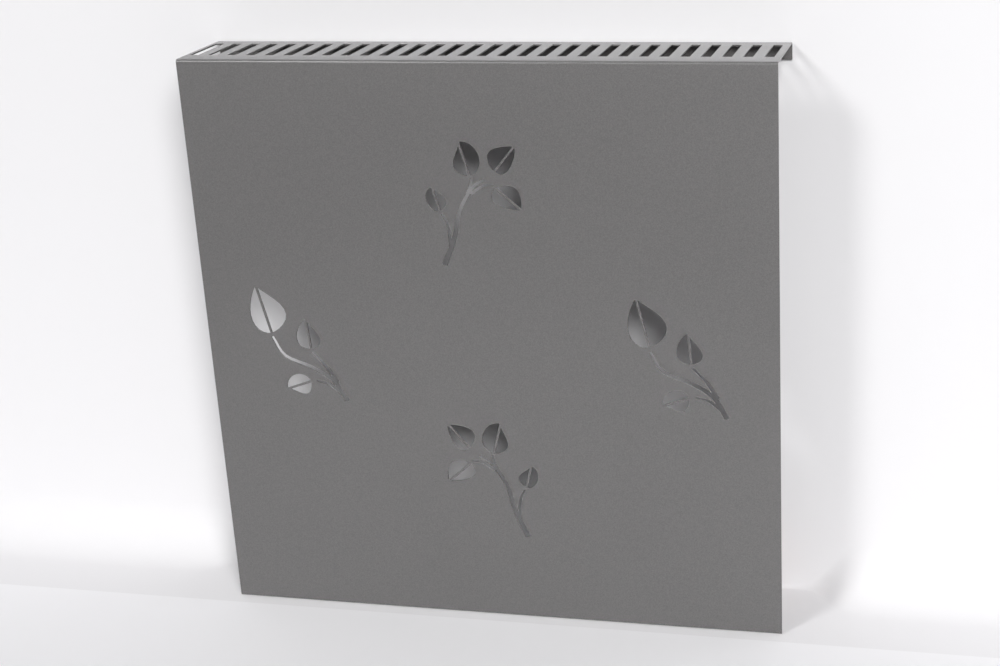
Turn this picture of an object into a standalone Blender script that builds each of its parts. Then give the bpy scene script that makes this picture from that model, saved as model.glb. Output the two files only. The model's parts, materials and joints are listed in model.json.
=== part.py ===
"""Wall-hung hot-water convector heater with a folded, lift-off sheet-metal cover.

Metres, +Z up, +X to the right, the front faces -Y. The wall is the plane Y = 0. The origin is
on the wall, in the middle of the back of the top rail that the heater hangs from. Heights are
written as level(height above the cover's bottom edge) and depths as out(distance from the wall).
"""
import math

import bmesh
import bpy
from mathutils import Matrix, Vector

GAP = 0.0003  # clearance between two pieces that touch

# Cover: one sheet folded into a front panel, a slotted top and a turned-down rear lip.
COVER_WIDTH = 0.600
COVER_HEIGHT = 0.593
COVER_FRONT = 0.104  # front face to wall
COVER_BACK = 0.0005  # lip to wall
SHEET = 0.0015
BEND_RADIUS = 0.003
LIP_HEIGHT = 0.017
SLOT_COUNT = 30
SLOT_PITCH = 0.020
SLOT_WIDTH = 0.0093
SLOT_LENGTH = 0.062
SLOT_FIRST = 0.0038  # cover's left edge to the first slot
SLOT_FRONT_BAND = 0.0246  # front face to the slots

# Cut-out sprays of leaves. Sizes in millimetres, measured from the spray's centre.
MM = 0.001
VEIN = 2.2
LEAF_STEPS = 13
STEM_STEPS = 4
SPRAY_COLUMN = 0.200  # side sprays: sideways distance from the middle
SIDE_SPRAY_LEVEL = 0.298
LOW_SPRAY_LEVEL = 0.156
HIGH_SPRAY_LEVEL = 0.4505

# Each leaf: base, tip, then (bulge, base power, tip power) of its left and right half.
THREE_LEAVES = (
    ((-28.5, 10.6), (-40.6, 61.8), (16.6, 0.50, 0.90), (23.0, 0.75, 1.35)),
    ((13.4, -5.4), (10.6, 27.4), (13.8, 0.45, 0.80), (12.4, 0.60, 1.60)),
    ((10.3, -41.2), (-16.9, -50.9), (11.6, 0.90, 1.60), (12.2, 0.55, 0.60)),
)
# Each stem: centre points, start width, end width. The first one is the main stem.
THREE_LEAF_STEMS = (
    (((-27.8, 6.8), (-15.5, -14.0), (12.0, -25.2), (34.5, -39.0), (48.0, -61.6)), 3.2, 5.6),
    (((14.3, -9.2), (27.6, -22.6), (39.5, -41.0)), 2.2, 5.0),
    (((17.0, -40.4), (30.0, -43.6), (43.0, -53.0)), 1.8, 4.4),
)
FOUR_LEAVES = (
    ((-23.4, 34.2), (-44.6, 59.6), (9.8, 0.35, 0.75), (16.0, 0.60, 1.10)),
    ((2.6, 29.2), (11.9, 63.2), (15.8, 0.45, 0.50), (12.8, 1.00, 1.80)),
    ((35.4, -6.8), (41.8, 17.4), (10.0, 0.80, 1.60), (10.1, 0.50, 0.50)),
    ((-22.9, 17.6), (-48.2, -4.6), (12.3, 0.40, 1.10), (13.8, 0.90, 1.00)),
)
FOUR_LEAF_STEMS = (
    (((-12.6, 26.3), (1.0, 17.0), (15.2, -7.0), (22.0, -34.0), (34.4, -63.0)), 2.4, 5.8),
    (((0.9, 27.8), (2.6, 19.5), (6.5, 10.0)), 1.8, 3.6),
    (((-21.0, 20.2), (-11.0, 19.6), (3.0, 11.0)), 1.8, 3.6),
    (((33.8, -9.4), (28.4, -21.0), (26.0, -47.0)), 1.8, 3.6),
)

# Wall frame: two rails and two uprights of flat steel strip.
RAIL_LEVEL = 0.532  # top rail's centre line, which is the origin's height
STRIP = 0.002
RAIL_LENGTH = 0.524
TOP_RAIL_HEIGHT = 0.040
LOW_RAIL_LEVEL = 0.016
LOW_RAIL_HEIGHT = 0.024
UPRIGHT_X = 0.102
UPRIGHT_WIDTH = 0.016
WALL_HOLE_X = 0.190
WALL_HOLE_RADIUS = 0.0035
HOOK_X = 0.238
HOOK_WIDTH = 0.018
ARM_WIDTH = 0.016
ARM_X = (-0.128, 0.230)
ARM_REACH = 0.097  # wall to the front of the arm's front tab
ARM_TAB_TOP = 0.042
ARM_REAR_TOP = 0.027
ARM_FLOOR = 0.004
BUFFER_LEVEL = 0.028
SADDLE_WIDTH = 0.014
SADDLE_OUT = (0.020, 0.084)
SADDLE_TOP = 0.0335
SADDLE_MOUTH = 0.0124  # narrower than the tube, which snaps in from above
SHANK_HOLE = 0.0022
HOOK_SCREW_RISE = 0.008  # above and below the top rail's centre line
ARM_SCREW_RISE = 0.003  # above the bottom rail's centre line

# Heating element: two copper tubes through a pack of fins, joined by a return bend.
TUBE_RADIUS = 0.0075
TUBE_WALL = 0.0008
TUBE_BORE = TUBE_RADIUS + GAP
TUBE_LEVEL = 0.029
SUPPLY_OUT = 0.071
RETURN_OUT = 0.033
TUBE_END_X = 0.252
ELBOW_RADIUS = 0.020
RISER_TOP = 0.070
FIN_COUNT = 28
FIN_PITCH = 0.012
FIN_THICKNESS = 0.0006
FIN_START_X = -0.112
FIN_OUT = (0.014, 0.090)
FIN_LEVELS = (0.009, 0.050)
COLLAR_RADIUS = 0.0086
END_PLATE = 0.001

# Valves, at the element's left end.
SUPPLY_X = -0.198
RETURN_X = -0.160
VALVE_LEVEL = 0.105
BODY_RADIUS = 0.012
BODY_BORE = 0.006
BODY_FOOT = 0.0773
BRANCH_LENGTH = 0.020
BOSS_LENGTH = 0.022
PIN_TRAVEL = 0.0025

BOTTOM = -RAIL_LEVEL
TOP = BOTTOM + COVER_HEIGHT
ROUND = 16  # sides of a round piece
SMALL = 8  # sides of a small fastener or its hole


def level(height):
    """Z of a height above the cover's bottom edge."""
    return BOTTOM + height


def out(distance):
    """Y of a distance from the wall."""
    return -distance


# ---------------------------------------------------------------- materials

def make_material(name, colour, roughness, metallic):
    material = bpy.data.materials.new(name)
    material.use_nodes = True
    shader = material.node_tree.nodes["Principled BSDF"]
    shader.inputs["Base Color"].default_value = (*colour, 1.0)
    shader.inputs["Roughness"].default_value = roughness
    shader.inputs["Metallic"].default_value = metallic
    return material


FINISHES = {
    "grey_paint": ((0.150, 0.145, 0.147), 0.55, 0.3),
    "zinc": ((0.55, 0.56, 0.57), 0.40, 1.0),
    "copper": ((0.72, 0.36, 0.20), 0.30, 1.0),
    "aluminium": ((0.75, 0.76, 0.77), 0.35, 1.0),
    "brass": ((0.70, 0.52, 0.22), 0.30, 1.0),
    "nickel": ((0.66, 0.64, 0.60), 0.25, 1.0),
    "white_plastic": ((0.82, 0.82, 0.80), 0.40, 0.0),
    "grey_plastic": ((0.30, 0.31, 0.32), 0.50, 0.0),
    "rubber": ((0.03, 0.03, 0.03), 0.80, 0.0),
    "magnet": ((0.30, 0.30, 0.31), 0.35, 1.0),
}


# ---------------------------------------------------------------- mesh tools

def new_object(name, mesh_data, finish=None, smooth=False, origin=(0, 0, 0)):
    """Turn a bmesh in world coordinates into an object whose origin lies at a given point."""
    bmesh.ops.recalc_face_normals(mesh_data, faces=mesh_data.faces)
    bmesh.ops.translate(mesh_data, verts=mesh_data.verts, vec=-Vector(origin))
    mesh = bpy.data.meshes.new(name)
    mesh_data.to_mesh(mesh)
    mesh_data.free()
    if smooth:
        mesh.shade_smooth()
        mesh.set_sharp_from_angle(angle=math.radians(32))
    obj = bpy.data.objects.new(name, mesh)
    obj.location = origin
    bpy.context.scene.collection.objects.link(obj)
    if finish:
        mesh.materials.append(make_material(name + "_finish", *FINISHES[finish]))
    return obj


def add_box(mesh_data, low, high):
    corners = [mesh_data.verts.new((x, y, z))
               for x in (low[0], high[0]) for y in (low[1], high[1]) for z in (low[2], high[2])]
    for face in ((0, 1, 3, 2), (4, 6, 7, 5), (0, 4, 5, 1), (2, 3, 7, 6), (0, 2, 6, 4), (1, 5, 7, 3)):
        mesh_data.faces.new([corners[i] for i in face])


def add_prism(mesh_data, outline, start, end, place):
    """Extrude a flat outline from start to end; place(u, v, w) gives the world point."""
    rings = [[mesh_data.verts.new(place(u, v, w)) for u, v in outline] for w in (start, end)]
    count = len(outline)
    mesh_data.faces.new(rings[0])
    mesh_data.faces.new(rings[1])
    for i in range(count):
        j = (i + 1) % count
        mesh_data.faces.new((rings[0][i], rings[0][j], rings[1][j], rings[1][i]))


AXES = {
    "x": Matrix(((0, 0, 1), (1, 0, 0), (0, 1, 0))),
    "y": Matrix(((1, 0, 0), (0, 0, 1), (0, 1, 0))),
    "z": Matrix(((1, 0, 0), (0, 1, 0), (0, 0, 1))),
}


def add_turned(mesh_data, profile, centre, axis, sides=ROUND):
    """Turn a closed profile of (radius, distance along the axis) about a line through centre."""
    turn = AXES[axis]
    rings = []
    for radius, along in profile:
        if radius < 1e-7:
            rings.append([mesh_data.verts.new(Vector(centre) + turn @ Vector((0, 0, along)))])
            continue
        ring = []
        for i in range(sides):
            angle = 2 * math.pi * (i + 0.5) / sides
            local = Vector((radius * math.cos(angle), radius * math.sin(angle), along))
            ring.append(mesh_data.verts.new(Vector(centre) + turn @ local))
        rings.append(ring)
    for first, second in zip(rings, rings[1:] + rings[:1]):
        if len(first) == 1 and len(second) == 1:
            continue
        for i in range(sides):
            j = (i + 1) % sides
            corners = [first[i % len(first)], first[j % len(first)],
                       second[j % len(second)], second[i % len(second)]]
            mesh_data.faces.new(list(dict.fromkeys(corners)))


def solid(radius, start, end):
    return [(0, start), (radius, start), (radius, end), (0, end)]


def ring(inner, outer, start, end):
    return [(inner, start), (outer, start), (outer, end), (inner, end)]


def turned(name, finish, profile, centre, axis, sides=ROUND, origin=None):
    data = bmesh.new()
    add_turned(data, profile, centre, axis, sides)
    return new_object(name, data, finish, smooth=True, origin=origin or centre)


def add_hexagon(mesh_data, flats, start, end, centre, axis):
    corner = flats / math.sqrt(3)
    add_turned(mesh_data, solid(corner, start, end), centre, axis, sides=6)


def cutter(mesh_data):
    return new_object("cutter", mesh_data)


def combine(obj, other, operation):
    """Apply one exact Boolean to obj and remove the other object."""
    modifier = obj.modifiers.new("combine", "BOOLEAN")
    modifier.object = other
    modifier.operation = operation
    modifier.solver = "EXACT"
    bpy.context.view_layer.update()
    evaluated = obj.evaluated_get(bpy.context.evaluated_depsgraph_get())
    mesh = bpy.data.meshes.new_from_object(evaluated)
    obj.modifiers.clear()
    old_mesh = obj.data
    obj.data = mesh
    bpy.data.meshes.remove(old_mesh)
    bpy.data.objects.remove(other)


def cut(obj, draw):
    """Cut obj with the closed bodies that draw(mesh_data) makes, none of which overlap."""
    data = bmesh.new()
    draw(data)
    combine(obj, cutter(data), "DIFFERENCE")


def merge(obj, draw):
    data = bmesh.new()
    draw(data)
    combine(obj, cutter(data), "UNION")


def finish_round(obj, finish):
    """Give a Boolean result its one material and smooth shading."""
    obj.data.materials.clear()
    obj.data.materials.append(make_material(obj.name + "_finish", *FINISHES[finish]))
    obj.data.shade_smooth()
    obj.data.set_sharp_from_angle(angle=math.radians(32))


def arc(centre, radius, start_degrees, end_degrees, steps):
    points = []
    for i in range(steps + 1):
        angle = math.radians(start_degrees + (end_degrees - start_degrees) * i / steps)
        points.append((centre[0] + radius * math.cos(angle), centre[1] + radius * math.sin(angle)))
    return points


def add_pipe(mesh_data, path, outer, inner, sides=12):
    """Sweep a round tube wall along a path that lies in one plane."""
    count = len(path)
    tangents = [(path[min(i + 1, count - 1)] - path[max(i - 1, 0)]).normalized() for i in range(count)]
    normal = next(t.cross(tangents[0]) for t in tangents if t.cross(tangents[0]).length > 0.01)
    normal.normalize()
    shells = []
    for radius in (outer, inner):
        rings = []
        for point, tangent in zip(path, tangents):
            side = tangent.cross(normal).normalized()
            rings.append([mesh_data.verts.new(
                point + radius * (math.cos(a) * normal + math.sin(a) * side))
                for a in (2 * math.pi * i / sides for i in range(sides))])
        shells.append(rings)
    for rings in shells:
        for first, second in zip(rings, rings[1:]):
            for i in range(sides):
                j = (i + 1) % sides
                mesh_data.faces.new((first[i], first[j], second[j], second[i]))
    for end in (0, -1):
        for i in range(sides):
            j = (i + 1) % sides
            outer_ring, inner_ring = shells[0][end], shells[1][end]
            mesh_data.faces.new((outer_ring[i], outer_ring[j], inner_ring[j], inner_ring[i]))


# ---------------------------------------------------------------- cover

def half_leaf(base, tip, half, side):
    """Outline of the hole on one side of a leaf's vein; side is +1 left or -1 right of it."""
    bulge, base_power, tip_power = half
    start, axis = Vector(base), Vector(tip) - Vector(base)
    length = axis.length
    along, across = axis / length, Vector((-axis.y, axis.x)) / length * side
    widest = base_power / (base_power + tip_power)
    scale = bulge / (widest ** base_power * (1 - widest) ** tip_power)

    def width(s):
        return scale * s ** base_power * (1 - s) ** tip_power

    def where_vein_ends(inside, end):
        for _ in range(30):
            middle = (inside + end) / 2
            inside, end = (middle, end) if width(middle) > VEIN / 2 else (inside, middle)
        return inside

    first, last = where_vein_ends(widest, 0.0), where_vein_ends(widest, 1.0)
    outline = []
    for i in range(LEAF_STEPS + 1):
        s = first + (last - first) * (1 - math.cos(math.pi * i / LEAF_STEPS)) / 2
        outline.append(start + along * (s * length) + across * max(width(s), VEIN / 2))
    return outline


def smooth_path(points, steps):
    """Read points from the smooth curve through a few given ones."""
    knots = [Vector(p) for p in points]
    knots = [2 * knots[0] - knots[1], *knots, 2 * knots[-1] - knots[-2]]
    path = []
    for a, b, c, d in zip(knots, knots[1:], knots[2:], knots[3:]):
        for i in range(steps):
            t = i / steps
            path.append(0.5 * (2 * b + (c - a) * t + (2 * a - 5 * b + 4 * c - d) * t ** 2
                               + (3 * b - a - 3 * c + d) * t ** 3))
    return path + [knots[-2]]


def stem_outline(points, start_width, end_width):
    path = smooth_path(points, STEM_STEPS)
    left, right = [], []
    for i, point in enumerate(path):
        ahead = path[min(i + 1, len(path) - 1)] - path[max(i - 1, 0)]
        across = Vector((-ahead.y, ahead.x)).normalized()
        half_width = (start_width + (end_width - start_width) * i / (len(path) - 1)) / 2
        left.append(point + across * half_width)
        right.append(point - across * half_width)
    return left + right[::-1]


def sprays():
    """Centre, mirror sign, leaves and stems of the four cut-out sprays."""
    return (
        (-SPRAY_COLUMN - 0.0015, level(SIDE_SPRAY_LEVEL), 1, THREE_LEAVES, THREE_LEAF_STEMS),
        (SPRAY_COLUMN - 0.0015, level(SIDE_SPRAY_LEVEL), 1, THREE_LEAVES, THREE_LEAF_STEMS),
        (-0.0005, level(LOW_SPRAY_LEVEL), 1, FOUR_LEAVES, FOUR_LEAF_STEMS),
        (-0.0015, level(HIGH_SPRAY_LEVEL), -1, FOUR_LEAVES, FOUR_LEAF_STEMS),
    )


def add_panel_hole(mesh_data, outline, centre_x, centre_z, sign):
    def place(u, v, w):
        return (centre_x + sign * u * MM, w, centre_z + v * MM)
    add_prism(mesh_data, outline, out(COVER_FRONT + 0.004), out(COVER_FRONT - 0.006), place)


def cut_sprays(cover):
    def draw_leaves(mesh_data):
        for x, z, sign, leaves, stems in sprays():
            for base, tip, left, right in leaves:
                add_panel_hole(mesh_data, half_leaf(base, tip, left, 1), x, z, sign)
                add_panel_hole(mesh_data, half_leaf(base, tip, right, -1), x, z, sign)
            add_panel_hole(mesh_data, stem_outline(*stems[0]), x, z, sign)

    def branch_drawer(number):
        def draw(mesh_data):
            for x, z, sign, _, stems in sprays():
                if number < len(stems):
                    add_panel_hole(mesh_data, stem_outline(*stems[number]), x, z, sign)
        return draw

    cut(cover, draw_leaves)
    for number in range(1, max(len(spray[4]) for spray in sprays())):
        cut(cover, branch_drawer(number))


def cover_section():
    """Section of the folded sheet in (Y, Z), outer side first, then the inner side back."""
    front, back = out(COVER_FRONT), out(COVER_BACK)
    front_bend = (front + BEND_RADIUS, TOP - BEND_RADIUS)
    back_bend = (back - BEND_RADIUS, TOP - BEND_RADIUS)
    inner = BEND_RADIUS - SHEET
    return ([(front, BOTTOM)] + arc(front_bend, BEND_RADIUS, 180, 90, 5)
            + arc(back_bend, BEND_RADIUS, 90, 0, 5) + [(back, TOP - LIP_HEIGHT)]
            + [(back - SHEET, TOP - LIP_HEIGHT)] + arc(back_bend, inner, 0, 90, 5)
            + arc(front_bend, inner, 90, 180, 5) + [(front + SHEET, BOTTOM)])


def make_cover():
    data = bmesh.new()
    half = COVER_WIDTH / 2
    add_prism(data, cover_section(), -half, half, lambda u, v, w: (w, u, v))
    cover = new_object("front_cover", data, "grey_paint")

    def draw_slots(mesh_data):
        for i in range(SLOT_COUNT):
            left = -half + SLOT_FIRST + i * SLOT_PITCH
            front = out(COVER_FRONT - SLOT_FRONT_BAND)
            add_box(mesh_data, (left, front, TOP - 0.005),
                    (left + SLOT_WIDTH, front + SLOT_LENGTH, TOP + 0.005))

    cut(cover, draw_slots)
    cut_sprays(cover)
    finish_round(cover, "grey_paint")


# ---------------------------------------------------------------- wall frame

def make_strip(name, low, high, holes=(), finish="grey_paint"):
    """A flat strip against the wall, with holes (x, z, radius) through its thickness."""
    data = bmesh.new()
    add_box(data, low, high)
    strip = new_object(name, data, finish)
    if holes:
        def draw(mesh_data):
            for x, z, radius in holes:
                bore = solid(radius, low[1] - 0.003, high[1] + 0.003)
                add_turned(mesh_data, bore, (x, 0, z), "y", SMALL)
        cut(strip, draw)
        finish_round(strip, finish)


def make_wall_frame():
    half = RAIL_LENGTH / 2
    front_low, front_high = out(2 * STRIP + GAP), out(STRIP + GAP)
    top_z, low_z = level(RAIL_LEVEL), level(LOW_RAIL_LEVEL)
    hook_places = [(side * HOOK_X, top_z + dz) for side in (-1, 1)
                   for dz in (-HOOK_SCREW_RISE, HOOK_SCREW_RISE)]
    arm_places = [(x, low_z + ARM_SCREW_RISE) for x in ARM_X]
    shared = [(side * UPRIGHT_X, SHANK_HOLE) for side in (-1, 1)]
    shared += [(side * WALL_HOLE_X, WALL_HOLE_RADIUS) for side in (-1, 1)]
    top_holes = [(x, top_z, r) for x, r in shared]
    top_holes += [(x, z, SHANK_HOLE) for x, z in hook_places]
    make_strip("top_rail", (-half, out(STRIP), top_z - TOP_RAIL_HEIGHT / 2),
               (half, 0, top_z + TOP_RAIL_HEIGHT / 2), top_holes)
    low_holes = [(x, low_z, r) for x, r in shared]
    low_holes += [(x, z, SHANK_HOLE) for x, z in arm_places]
    make_strip("bottom_rail", (-half, out(STRIP), low_z - LOW_RAIL_HEIGHT / 2),
               (half, 0, low_z + LOW_RAIL_HEIGHT / 2), low_holes)
    for side, label in ((-1, "left"), (1, "right")):
        x = side * UPRIGHT_X
        make_strip(label + "_upright", (x - UPRIGHT_WIDTH / 2, front_low, level(0.006)),
                   (x + UPRIGHT_WIDTH / 2, front_high, level(0.550)),
                   [(x, top_z, SHANK_HOLE), (x, low_z, SHANK_HOLE)])
        make_cover_hook(label, side * HOOK_X, front_low, front_high)
    make_fasteners("frame_rivet", [(side * UPRIGHT_X, z) for side in (-1, 1) for z in (top_z, low_z)])
    make_fasteners("hook_screw", hook_places)
    make_fasteners("arm_screw", arm_places)


def make_cover_hook(label, x, front_low, front_high):
    """A strip standing up from the top rail: the cover's lip drops behind it."""
    half, foot, chamfer = HOOK_WIDTH / 2, level(RAIL_LEVEL - 0.016), 0.003
    top = TOP - SHEET - 0.0009  # its rear edge carries the inside of the cover's rear bend
    outline = [(-half, foot), (half, foot), (half, top - chamfer), (half - chamfer, top),
               (-half + chamfer, top), (-half, top - chamfer)]
    data = bmesh.new()
    add_prism(data, outline, front_low, front_high, lambda u, v, w: (x + u, w, v))
    hook = new_object(label + "_cover_hook", data, "grey_paint")

    def draw(mesh_data):
        for dz in (-HOOK_SCREW_RISE, HOOK_SCREW_RISE):
            add_turned(mesh_data, solid(SHANK_HOLE, front_low - 0.003, front_high + 0.003),
                       (x, 0, level(RAIL_LEVEL + dz)), "y", SMALL)
    cut(hook, draw)
    finish_round(hook, "grey_paint")


def make_fasteners(name, places):
    """Headed fasteners through two strips, numbered from the left."""
    shank, head = 0.0019, 0.0036
    head_face = out(2 * STRIP + 2 * GAP)
    profile = [(0, -0.0004), (shank, -0.0004), (shank, head_face), (head, head_face),
               (head * 0.75, head_face - 0.0016), (0, head_face - 0.0016)]
    for number, (x, z) in enumerate(places, start=1):
        turned(f"{name}_{number}", "zinc", profile, (x, 0, z), "y", SMALL)


def make_core_arm(label, x):
    """A strip bent into a cradle: rear tab on the bottom rail, floor, front tab."""
    rear, front = STRIP + GAP, ARM_REACH
    floor, rear_top, front_top = level(ARM_FLOOR), level(ARM_REAR_TOP), level(ARM_TAB_TOP)
    section = [(rear, floor), (front, floor), (front, front_top), (front - STRIP, front_top),
               (front - STRIP, floor + STRIP), (rear + STRIP, floor + STRIP),
               (rear + STRIP, rear_top), (rear, rear_top)]
    data = bmesh.new()
    add_prism(data, section, x - ARM_WIDTH / 2, x + ARM_WIDTH / 2, lambda u, v, w: (w, out(u), v))
    arm = new_object(label + "_core_arm", data, "zinc")

    def draw(mesh_data):
        rear_hole = (x, 0, level(LOW_RAIL_LEVEL) + ARM_SCREW_RISE)
        floor_hole = (x, out(saddle_middle()), floor + STRIP / 2)
        add_turned(mesh_data, solid(SHANK_HOLE, out(0.008), 0), rear_hole, "y", SMALL)
        add_turned(mesh_data, solid(SHANK_HOLE, -0.004, 0.004), floor_hole, "z", SMALL)
    cut(arm, draw)
    finish_round(arm, "zinc")

    data = bmesh.new()
    add_box(data, (x - SADDLE_WIDTH / 2, out(SADDLE_OUT[1]), floor + STRIP + GAP),
            (x + SADDLE_WIDTH / 2, out(SADDLE_OUT[0]), level(SADDLE_TOP)))
    saddle = new_object(label + "_core_saddle", data, "grey_plastic")

    def draw_seats(mesh_data):
        for distance in (SUPPLY_OUT, RETURN_OUT):
            seat = (x, out(distance), level(TUBE_LEVEL))
            add_turned(mesh_data, solid(TUBE_BORE, -0.02, 0.02), seat, "x", 16)
        thread = solid(0.0016, -0.001, 0.012)
        add_turned(mesh_data, thread, (x, out(saddle_middle()), BOTTOM), "z", SMALL)

    def draw_mouths(mesh_data):
        for distance in (SUPPLY_OUT, RETURN_OUT):
            add_box(mesh_data, (x - 0.02, out(distance + SADDLE_MOUTH / 2), level(TUBE_LEVEL)),
                    (x + 0.02, out(distance - SADDLE_MOUTH / 2), level(SADDLE_TOP + 0.01)))
    cut(saddle, draw_seats)
    cut(saddle, draw_mouths)
    finish_round(saddle, "grey_plastic")

    centre = (x, out(ARM_REACH), level(BUFFER_LEVEL))
    touch = -(COVER_FRONT - SHEET - GAP - ARM_REACH)
    turned(label + "_front_buffer", "rubber", ring(0.0053, 0.0080, -GAP, touch), centre, "y")
    turned(label + "_catch_magnet", "magnet", solid(0.0050, -GAP, touch + 0.0002), centre, "y")


def saddle_middle():
    return (SUPPLY_OUT + RETURN_OUT) / 2


def make_saddle_screws():
    profile = [(0, -0.0016), (0.0036, -0.0010), (0.0036, 0), (0.0013, 0), (0.0013, 0.0070), (0, 0.0070)]
    for number, x in enumerate(ARM_X, start=1):
        centre = (x, out(saddle_middle()), level(ARM_FLOOR) - GAP)
        turned(f"saddle_screw_{number}", "zinc", profile, centre, "z", SMALL)


# ---------------------------------------------------------------- heating element

def fin_face(mesh_data, x, hole_rings):
    """One side of a fin: a rectangle around two round holes, whose rings are given."""
    low, high = level(FIN_LEVELS[0]), level(FIN_LEVELS[1])
    lines = (-FIN_OUT[1], out(saddle_middle()), -FIN_OUT[0])
    corners = {(i, z): mesh_data.verts.new((x, lines[i], z)) for i in range(3) for z in (low, high)}
    for half, hole in enumerate(hole_rings):
        # Corners in the same turning order as the ring, which starts at +Y and turns towards +Z.
        square = [corners[half + 1, high], corners[half, high],
                  corners[half, low], corners[half + 1, low]]
        quarter = len(hole) // 4
        for k, corner in enumerate(square):
            for i in range(quarter):
                first = (k * quarter + i) % len(hole)
                mesh_data.faces.new((corner, hole[first], hole[(first + 1) % len(hole)]))
            mesh_data.faces.new((corner, square[(k + 1) % 4], hole[((k + 1) * quarter) % len(hole)]))
    return corners


def hole_ring(mesh_data, x, distance, radius, sides=12):
    ring_verts = []
    for i in range(sides):
        angle = 2 * math.pi * i / sides
        y = out(distance) + radius * math.cos(angle)
        ring_verts.append(mesh_data.verts.new((x, y, level(TUBE_LEVEL) + radius * math.sin(angle))))
    return ring_verts


def bridge(mesh_data, first, second):
    for i in range(len(first)):
        j = (i + 1) % len(first)
        mesh_data.faces.new((first[i], first[j], second[j], second[i]))


def make_fin_pack():
    """Thin plates whose collars touch, so that the pack is one body with two through bores."""
    data = bmesh.new()
    tubes = (SUPPLY_OUT, RETURN_OUT)
    previous, bores = None, []
    for number in range(FIN_COUNT):
        x = FIN_START_X + number * FIN_PITCH
        sides = []
        for face_x, is_end in ((x, number == 0), (x + FIN_THICKNESS, number == FIN_COUNT - 1)):
            radius = TUBE_BORE if is_end else COLLAR_RADIUS
            rings = [hole_ring(data, face_x, distance, radius) for distance in tubes]
            sides.append((fin_face(data, face_x, rings), rings))
            if is_end:
                bores.append(rings)
        (left, left_rings), (right, right_rings) = sides
        rim = [(0, level(FIN_LEVELS[0])), (1, level(FIN_LEVELS[0])), (2, level(FIN_LEVELS[0])),
               (2, level(FIN_LEVELS[1])), (1, level(FIN_LEVELS[1])), (0, level(FIN_LEVELS[1]))]
        bridge(data, [left[key] for key in rim], [right[key] for key in rim])
        if previous:
            for first, second in zip(previous, left_rings):
                bridge(data, first, second)
        previous = right_rings
    for first, second in zip(*bores):
        bridge(data, first, second)
    new_object("fin_pack", data, "aluminium", smooth=True)


def make_end_plates():
    fin_end = FIN_START_X + (FIN_COUNT - 1) * FIN_PITCH + FIN_THICKNESS
    for label, start in (("left", FIN_START_X - GAP - END_PLATE), ("right", fin_end + GAP)):
        data = bmesh.new()
        add_box(data, (start, -FIN_OUT[1] - 0.001, level(FIN_LEVELS[0] - 0.001)),
                (start + END_PLATE, -FIN_OUT[0] + 0.001, level(FIN_LEVELS[1] + 0.001)))
        plate = new_object(label + "_end_plate", data, "zinc")

        def draw(mesh_data):
            for distance in (SUPPLY_OUT, RETURN_OUT):
                add_turned(mesh_data, solid(TUBE_BORE, -0.01, 0.01),
                           (start, out(distance), level(TUBE_LEVEL)), "x", 16)
        cut(plate, draw)
        finish_round(plate, "zinc")


def make_tubes():
    for name, x, distance in (("supply_tube", SUPPLY_X, SUPPLY_OUT),
                              ("return_tube", RETURN_X, RETURN_OUT)):
        bend_centre = (x + ELBOW_RADIUS, level(TUBE_LEVEL) + ELBOW_RADIUS)
        outline = [(TUBE_END_X, level(TUBE_LEVEL))] + arc(bend_centre, ELBOW_RADIUS, 270, 180, 6)
        outline.append((x, level(RISER_TOP)))
        data = bmesh.new()
        add_pipe(data, [Vector((u, out(distance), v)) for u, v in outline],
                 TUBE_RADIUS, TUBE_RADIUS - TUBE_WALL)
        new_object(name, data, "copper", smooth=True)

    socket = 0.009
    start = TUBE_END_X - socket
    middle, radius = out(saddle_middle()), (SUPPLY_OUT - RETURN_OUT) / 2
    bend = arc((TUBE_END_X + GAP, middle), radius, -90, 90, 12)
    path = [(start, out(SUPPLY_OUT))] + bend + [(start, out(RETURN_OUT))]
    data = bmesh.new()
    add_pipe(data, [Vector((u, v, level(TUBE_LEVEL))) for u, v in path], COLLAR_RADIUS, TUBE_BORE)
    new_object("return_bend", data, "copper", smooth=True)


# ---------------------------------------------------------------- valves
# Every turned profile is a list of (radius, distance along the axis from the valve's middle).

def make_union(label, x, distance):
    """Tailpiece on the riser's top, gasket, and the nut that pulls both against the valve."""
    centre = (x, out(distance), BOTTOM)
    flange, bore = 0.0115, 0.0060
    tail = [(TUBE_BORE, 0.060), (0.0090, 0.060), (0.0090, 0.072), (flange, 0.072), (flange, 0.075),
            (bore, 0.075), (bore, RISER_TOP + GAP), (TUBE_BORE, RISER_TOP + GAP)]
    turned(label + "_union_tail", "brass", tail, centre, "z")
    turned(label + "_union_gasket", "rubber", ring(0.0065, 0.0110, 0.075 + GAP, 0.077), centre, "z")
    data = bmesh.new()
    add_hexagon(data, 0.030, 0.068, 0.088, centre, "z")
    nut = new_object(label + "_union_nut", data, "nickel")

    def draw(mesh_data):
        bore_profile = [(0, 0.060), (0.0093, 0.060), (0.0093, 0.0717), (BODY_RADIUS + GAP, 0.0717),
                        (BODY_RADIUS + GAP, 0.100), (0, 0.100)]
        add_turned(mesh_data, bore_profile, centre, "z")
    cut(nut, draw)
    finish_round(nut, "nickel")


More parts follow.
